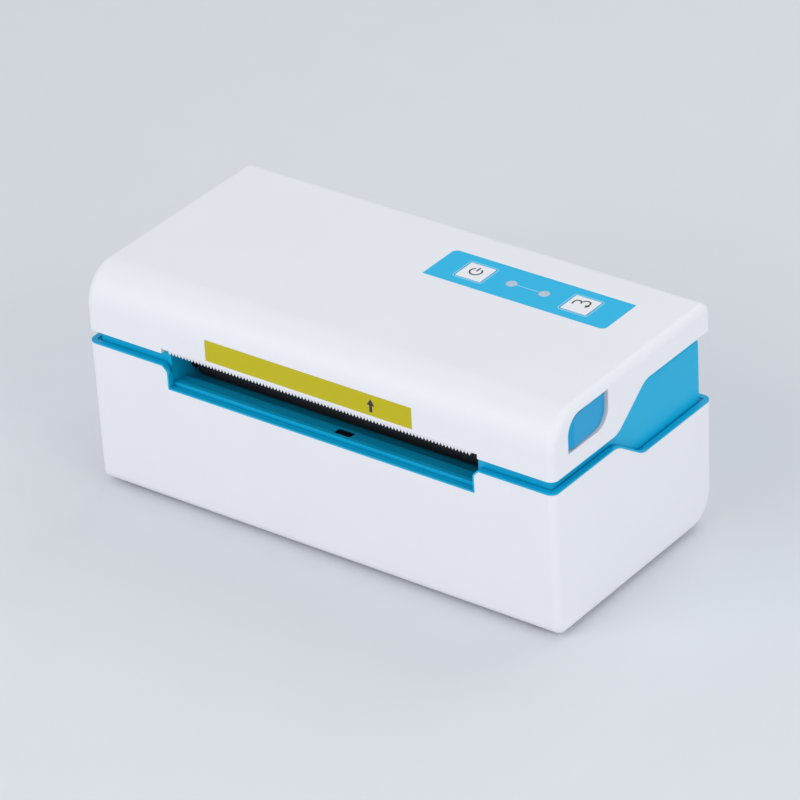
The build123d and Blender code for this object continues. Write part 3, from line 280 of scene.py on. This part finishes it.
def heater_line(tree, place, old):
    """Dark glaze line of the heating dots along the ceramic, above the platen's axis."""
    half_line = 0.6 * mm
    dark_glaze = linear("#2A211B")
    across = add_node(tree, "ShaderNodeSeparateXYZ", {"Vector": place}).outputs["Y"]
    offset = add_node(
        tree, "ShaderNodeMath", {0: across, 1: platen_axis.y}, operation="SUBTRACT"
    ).outputs["Value"]
    distance = add_node(tree, "ShaderNodeMath", {0: offset}, operation="ABSOLUTE").outputs["Value"]
    inside = add_node(
        tree, "ShaderNodeMath", {0: distance, 1: half_line}, operation="LESS_THAN"
    ).outputs["Value"]
    return add_node(
        tree, "ShaderNodeMix", {mix_factor: inside, mix_a: old, mix_b: dark_glaze}, data_type="RGBA"
    ).outputs[mix_result]


roller_low, roller_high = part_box("platen_roller")
platen_axis = (roller_low + roller_high) / 2
repaint(galvanised, spangle)
repaint(solder_mask, traces)
repaint(glazed_ceramic, heater_line)

node_finishes = {
    white_abs: ["lower_shell", "lid_cover", "tear_bar"],
    blue_abs: ["base_body", "inlet_rail", "lid_liner", "guide_left", "guide_right"],
    button_abs: ["release_button_left", "release_button_right"],
    panel_film: ["control_panel"],
    lens: ["indicator_lenses"],
    sensor_plastic: ["exit_sensor_window", "paper_sensor"],
    platen_rubber: ["platen_roller"],
    foot_rubber: ["rubber_feet"],
    ground_steel: ["platen_shaft", "head_shaft", "hinge_pins", "motor_shaft", "idler_stud"],
    spring_steel: ["head_springs", "release_spring_left", "release_spring_right"],
    zinc_plate: ["lid_screws", "tear_bar_screws", "board_screws", "motor_screws"],
    black_oxide: ["case_screws"],
    galvanised: ["motor_bracket", "head_bracket"],
    nickel_plate: ["data_socket"],
    brass: ["motor_pinion"],
    aluminium: ["heat_sink"],
    natural_acetal: ["platen_gear", "idler_gear", "guide_pinion"],
    black_acetal: ["platen_bushes"],
    motor_paint: ["motor"],
    epoxy: ["board_components", "key_board_parts", "power_socket"],
    solder_mask: ["main_board", "key_board"],
    glazed_ceramic: ["print_head_strip"],
}
for material, names in node_finishes.items():
    for name in names:
        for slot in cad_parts[name].material_slots:
            slot.material = material


# Pieces
def piece_from(name, mesh, material, body, slot, *nodes):
    """Object of a finished mesh that rides on a body and stands for the CAD nodes given."""
    piece = bpy.data.objects.new(name, mesh)
    scene.collection.objects.link(piece)
    mesh.materials.clear()
    mesh.materials.append(material)
    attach(piece, body)
    if nodes:
        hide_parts(*nodes)
    return piece


def set_back(node, offset, name, material, body, slot):
    """Copy of a CAD node moved by a hair, which leaves room for print inside the printer's box."""
    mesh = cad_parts[node].data.copy()
    mesh.transform(Matrix.Translation(offset))
    return piece_from(name, mesh, material, body, slot, node)


def stroke(points, width):
    """Closed outline of a line of a certain width, with mitred corners."""
    left = []
    right = []
    for index, point in enumerate(points):
        here = Vector(point)
        before = Vector(points[max(index - 1, 0)])
        after = Vector(points[min(index + 1, len(points) - 1)])
        inward = (here - before).normalized() if index > 0 else (after - here).normalized()
        outward = (after - here).normalized() if index < len(points) - 1 else inward
        middle = (inward + outward).normalized()
        side = Vector((-middle.y, middle.x)) * width / 2 / max(0.4, middle.dot(inward))
        left.append(here + side)
        right.append(here - side)
    return left + right[::-1]


def arc(centre, radius, start, end, steps=28):
    """Points of an arc between two angles in degrees."""
    angles = [math.radians(start + (end - start) * step / steps) for step in range(steps + 1)]
    x, y = centre
    return [(x + radius * math.cos(angle), y + radius * math.sin(angle)) for angle in angles]


def printed(name, outlines, place, material, body, slot, thickness=0.03 * mm):
    """Thin layer of ink with closed outlines in millimetres, raised along the place's third axis."""
    ink = bmesh.new()
    for outline in outlines:
        face = ink.faces.new([ink.verts.new((x * mm, y * mm, 0)) for x, y in outline])
        face.normal_update()
        if face.normal.z < 0:
            face.normal_flip()
        top = bmesh.ops.extrude_face_region(ink, geom=[face])["geom"]
        lifted = [item for item in top if isinstance(item, bmesh.types.BMVert)]
        bmesh.ops.translate(ink, verts=lifted, vec=(0, 0, thickness))
        face.normal_flip()
    bmesh.ops.triangulate(ink, faces=[face for face in ink.faces if len(face.verts) > 4])
    bmesh.ops.recalc_face_normals(ink, faces=ink.faces)
    ink.transform(place)
    mesh = bpy.data.meshes.new(name)
    ink.to_mesh(mesh)
    ink.free()
    return piece_from(name, mesh, material, body, slot)


def on_top(x, y, z):
    """Place on an upward face, X to the right and Y to the rear."""
    return Matrix.Translation((x, y, z))


def on_front(x, y, z):
    """Place on a face that looks forward, X to the right and Y up."""
    return Matrix.Translation((x, y, z)) @ Matrix.Rotation(math.radians(90), 4, "X")


def rim_bead(height):
    """Blue bead that lies on the shell's rim and goes on round the notch of the paper exit."""
    bead = bmesh.new()
    bead.from_mesh(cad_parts["lower_shell"].data)
    bmesh.ops.remove_doubles(bead, verts=bead.verts, dist=0.001 * mm)
    low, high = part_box("lower_shell")
    # The rim's faces lie in a band along the outside, above a least height, and the notch's within a reach
    rim_band = 2.3 * mm
    least_height = 43.0 * mm
    notch_reach = 62.0 * mm
    # A face counts as facing a way from this share of its normal
    facing = 0.5
    spare = []
    for face in bead.faces:
        middle = face.calc_center_median()
        inward = min(middle.x - low.x, high.x - middle.x, middle.y - low.y, high.y - middle.y)
        on_rim = face.normal.z > facing and inward < rim_band
        in_notch = abs(middle.x) < notch_reach and middle.y - low.y < rim_band
        on_notch = abs(face.normal.x) > facing and in_notch
        if middle.z < least_height or not (on_rim or on_notch):
            spare.append(face)
    bmesh.ops.delete(bead, geom=spare, context="FACES")
    bead.normal_update()
    outward = {vert.co.to_tuple(7): vert.normal * height for vert in bead.verts}
    raised = bmesh.ops.extrude_face_region(bead, geom=bead.faces[:], use_keep_orig=True)["geom"]
    for item in raised:
        if isinstance(item, bmesh.types.BMVert):
            item.co += outward[item.co.to_tuple(7)]
    bmesh.ops.recalc_face_normals(bead, faces=bead.faces)
    mesh = bpy.data.meshes.new("rim_bead")
    bead.to_mesh(mesh)
    bead.free()
    return piece_from("rim_bead", mesh, blue_abs, "base", "blue_body")


bead_height = 0.6 * mm
rim_bead(bead_height)


def button_face(name, side, body):
    """Face of a release button, in millimetres: a leaf that falls away from an upright ridge."""
    low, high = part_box("lid_cover")
    # Ends and ridge of the leaf, measured from the lid's front, and its edges, from the lid's top
    front = low.y / mm + 9.1
    ridge = low.y / mm + 12.0
    rear = low.y / mm + 29.5
    bottom = high.z / mm - 14.6
    top = high.z / mm - 3.7
    round_radius = 5.8
    # Back and ridge of the leaf, measured from the lid's side, and how far its ends fall from the ridge
    root = high.x / mm - 3.0
    crest = high.x / mm - 0.2
    front_fall = 0.7
    rear_fall = 0.9
    leaf = [(front, bottom)] + arc((front + round_radius, top - round_radius), round_radius, 180, 90, 16)
    leaf += [(rear, top)] + arc((rear - round_radius, bottom + round_radius), round_radius, 0, -90, 16)
    cap = bmesh.new()
    face = cap.faces.new([cap.verts.new((side * root, y, z)) for y, z in leaf])
    bmesh.ops.bisect_plane(
        cap, geom=cap.verts[:] + cap.edges[:] + [face], plane_co=(0, ridge, 0), plane_no=(0, 1, 0)
    )
    raised = bmesh.ops.extrude_face_region(cap, geom=cap.faces[:], use_keep_orig=True)["geom"]
    for item in raised:
        if isinstance(item, bmesh.types.BMVert):
            if item.co.y < ridge:
                fall = (ridge - item.co.y) / (ridge - front) * front_fall
            else:
                fall = (item.co.y - ridge) / (rear - ridge) * rear_fall
            item.co.x = side * (crest - fall)
    bmesh.ops.recalc_face_normals(cap, faces=cap.faces)
    bmesh.ops.scale(cap, vec=(mm, mm, mm), verts=cap.verts)
    mesh = bpy.data.meshes.new(name)
    cap.to_mesh(mesh)
    cap.free()
    return piece_from(name, mesh, button_abs, body, "blue_button")


button_face("release_face_right", 1, "release_right")
button_face("release_face_left", -1, "release_left")

ink_room = 0.05 * mm
marks = {}
for node in ("power_key", "feed_key"):
    set_back(node, (0, 0, -ink_room), node + "_cap", key_abs, node, "key_white")
    low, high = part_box(node)
    marks[node] = ((low.x + high.x) / 2, (low.y + high.y) / 2, high.z - ink_room)

# Power symbol: a ring open at the rear, with a bar in the opening
ring_radius = 2.05
symbol_stroke = 0.55
printed(
    "power_symbol",
    [
        stroke(arc((0, 0.1), ring_radius, 125, 415), symbol_stroke),
        stroke([(0, 0.4), (0, 2.8)], symbol_stroke),
    ],
    on_top(*marks["power_key"]),
    black_ink,
    "power_key",
    "chip_black",
)

# Feed symbol: a sheet's edge that curls in front of an arrow, which turns down
printed(
    "feed_symbol",
    [
        stroke([(-2.9, -0.9)] + arc((-1.75, 0.6), 1.3, 190, 20, 12) + [(-0.5, 0.5)], symbol_stroke),
        stroke(arc((1.0, 1.3), 1.45, 165, -15, 14) + [(2.35, 0.3)], symbol_stroke),
        [(1.4, 0.4), (3.2, 0.4), (2.1, -1.2)],
    ],
    on_top(*marks["feed_key"]),
    black_ink,
    "feed_key",
    "chip_black",
)

# Lines printed on the panel: a frame round each key, and one line from lamp to lamp
panel_low, panel_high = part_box("control_panel")
panel_top = panel_high.z
line_width = 0.3
# In millimetres, the rim of a key under the panel, and the frame's distance from the cap and its rounding
hidden_rim = 1.0
frame_margin = 0.75
frame_round = 1.1
frame_gap = 0.02
frame_outlines = []
for node in ("power_key", "feed_key"):
    x, y, _ = marks[node]
    low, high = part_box(node)
    half_x = (high.x - low.x) / 2 / mm - hidden_rim + frame_margin - frame_round
    half_y = (high.y - low.y) / 2 / mm - hidden_rim + frame_margin - frame_round
    path = []
    for start, (side_x, side_y) in zip((-90, 0, 90, 180), ((1, -1), (1, 1), (-1, 1), (-1, -1))):
        corner = (x / mm + side_x * half_x, y / mm + side_y * half_y)
        path += arc(corner, frame_round, start, start + 90, 6)
    # The line ends a hair before its own start
    path.append((path[0][0] - frame_gap, path[0][1]))
    frame_outlines.append(stroke(path, line_width))
lens_low, lens_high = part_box("indicator_lenses")
lens_width = lens_high.y - lens_low.y
lamp_y = (lens_low.y + lens_high.y) / 2 / mm
lamp_line = [((lens_low.x + lens_width) / mm, lamp_y), ((lens_high.x - lens_width) / mm, lamp_y)]
frame_outlines.append(stroke(lamp_line, line_width))
printed("panel_lines", frame_outlines, on_top(0, 0, panel_top), pale_ink, "lid", "key_white")

# Yellow strip, set back by a hair, with an arrow that points up
set_back("yellow_strip", (0, ink_room, 0), "yellow_strip_film", strip_film, "lid", "yellow_print")
strip_low, strip_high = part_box("yellow_strip")
arrow = [(-0.55, -2.2), (0.55, -2.2), (0.55, 0.2), (1.5, 0.2), (0, 2.4), (-1.5, 0.2), (-0.55, 0.2)]
arrow_x = 22.5 * mm
arrow_drop = 0.3 * mm
arrow_at = (arrow_x, strip_low.y + ink_room, (strip_low.z + strip_high.z) / 2 - arrow_drop)
printed("strip_arrow", [arrow], on_front(*arrow_at), black_ink, "lid", "chip_black")


# Legs of the chips on the main board
def leg_tree():
    """Geometry nodes that set legs in a row, each a small flat block."""
    tree = bpy.data.node_groups.new("chip_leg_row", "GeometryNodeTree")
    sockets = {
        "Start": "NodeSocketVector",
        "Step": "NodeSocketVector",
        "Count": "NodeSocketInt",
        "Leg": "NodeSocketVector",
        "Finish": "NodeSocketMaterial",
    }
    for name, kind in sockets.items():
        tree.interface.new_socket(name, in_out="INPUT", socket_type=kind)
    tree.interface.new_socket("Geometry", in_out="OUTPUT", socket_type="NodeSocketGeometry")
    given = add_node(tree, "NodeGroupInput").outputs
    row = add_node(
        tree,
        "GeometryNodeMeshLine",
        {"Count": given["Count"], "Start Location": given["Start"], "Offset": given["Step"]},
        mode="OFFSET",
    )
    leg = add_node(tree, "GeometryNodeMeshCube", {"Size": given["Leg"]})
    legs = add_node(
        tree,
        "GeometryNodeInstanceOnPoints",
        {"Points": row.outputs["Mesh"], "Instance": leg.outputs["Mesh"]},
    )
    real = add_node(tree, "GeometryNodeRealizeInstances", {"Geometry": legs.outputs["Instances"]})
    coated = add_node(
        tree,
        "GeometryNodeSetMaterial",
        {"Geometry": real.outputs["Geometry"], "Material": given["Finish"]},
    )
    add_node(tree, "NodeGroupOutput", {"Geometry": coated.outputs["Geometry"]})
    return tree


def grown(tree, inputs):
    """Plain mesh of a geometry node tree with the given inputs."""
    holder = bpy.data.objects.new("holder", bpy.data.meshes.new("holder"))
    scene.collection.objects.link(holder)
    modifier = holder.modifiers.new("grow", "NODES")
    modifier.node_group = tree
    sockets = tree.interface.items_tree
    identifiers = {socket.name: socket.identifier for socket in sockets if socket.in_out == "INPUT"}
    for name, value in inputs.items():
        modifier[identifiers[name]] = value
    evaluated = holder.evaluated_get(bpy.context.evaluated_depsgraph_get())
    mesh = bpy.data.meshes.new_from_object(evaluated)
    holder.modifiers.remove(modifier)
    bpy.data.objects.remove(holder)
    return mesh


def joined(name, meshes):
    """One mesh of several."""
    whole = bmesh.new()
    for mesh in meshes:
        whole.from_mesh(mesh)
    mesh = bpy.data.meshes.new(name)
    whole.to_mesh(mesh)
    whole.free()
    return mesh


board_low, board_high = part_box("main_board")
leg_size = Vector((0.25, 0.9, 0.3)) * mm
leg_pitch = 0.8 * mm
legs = leg_tree()
rows = []
# Middle and size in millimetres, and legs in a row along X and along Y
processor = ((0, 4), (14, 14), (16, 16))
memory_chip = ((20, 2), (8, 6), (8, 0))
for (x, y), chip_size, counts in (processor, memory_chip):
    for side in (-1, 1):
        for along, across, count in ((0, 1, counts[0]), (1, 0, counts[1])):
            if count == 0:
                continue
            half = chip_size[across] / 2 * mm
            start = Vector((x * mm, y * mm, board_high.z + leg_size.z / 2))
            start[across] += side * (half + leg_size.y / 2)
            start[along] -= (count - 1) * leg_pitch / 2
            step = Vector((0, 0, 0))
            step[along] = leg_pitch
            size = Vector((0, 0, leg_size.z))
            size[along] = leg_size.x
            size[across] = leg_size.y
            row_inputs = {
                "Start": start[:],
                "Step": step[:],
                "Count": count,
                "Leg": size[:],
                "Finish": nickel_plate,
            }
            rows.append(grown(legs, row_inputs))
piece_from("chip_legs", joined("chip_legs", rows), nickel_plate, "base", "socket_metal")

# Camera, solved from the photograph's straight edges
azimuth = math.radians(37.557)
elevation = math.radians(30.379)
roll = math.radians(-2.971)
camera_place = Vector((873.53, -1135.69, 877.38)) * mm
back = Vector(
    (
        math.sin(azimuth) * math.cos(elevation),
        -math.cos(azimuth) * math.cos(elevation),
        math.sin(elevation),
    )
)
level = Vector((math.cos(azimuth), math.sin(azimuth), 0))
upright = back.cross(level)
right = level * math.cos(roll) + upright * math.sin(roll)
up = upright * math.cos(roll) - level * math.sin(roll)
camera_data = bpy.data.cameras.new("camera")
camera_data.sensor_width = 36
camera_data.lens = 233.6
camera_data.clip_start = 0.05
camera_data.clip_end = 20
camera = bpy.data.objects.new("camera", camera_data)
turned = Matrix((right, up, back)).transposed().to_4x4()
camera.matrix_world = Matrix.Translation(camera_place) @ turned
scene.collection.objects.link(camera)
scene.camera = camera

# Floor, a pale sheet that the printer stands on
floor_finish = finish("pale_backdrop_paper", "#E2E5E9", 0.8, 1.2, 0.01, tone=0.01)
floor_mesh = bpy.data.meshes.new("floor")
reach = 3.0
floor_corners = [(-reach, -reach, 0), (reach, -reach, 0), (reach, reach, 0), (-reach, reach, 0)]
floor_mesh.from_pydata(floor_corners, [], [(0, 1, 2, 3)])
floor_mesh.materials.append(floor_finish)
floor = bpy.data.objects.new("floor", floor_mesh)
scene.collection.objects.link(floor)

# Soft studio light: an even white surround and three large soft boxes
world = bpy.data.worlds.new("studio")
scene.world = world
world.use_nodes = True
background = next(node for node in world.node_tree.nodes if node.type == "BACKGROUND")
background.inputs["Color"].default_value = (0.93, 0.95, 1.0, 1.0)
background.inputs["Strength"].default_value = 0.62
box_size = 0.9
for name, place, power in (
    ("key_box", (-0.35, -1.0, 0.62), 4.3),
    ("right_box", (1.1, -0.25, 0.5), 3.7),
    ("rear_box", (0.1, 0.8, 1.1), 3.0),
):
    light_data = bpy.data.lights.new(name, "AREA")
    light_data.shape = "SQUARE"
    light_data.size = box_size
    light_data.energy = power
    light = bpy.data.objects.new(name, light_data)
    towards_printer = Vector(place).to_track_quat("Z", "Y").to_matrix().to_4x4()
    light.matrix_world = Matrix.Translation(place) @ towards_printer
    scene.collection.objects.link(light)
scene.view_settings.view_transform = "Standard"
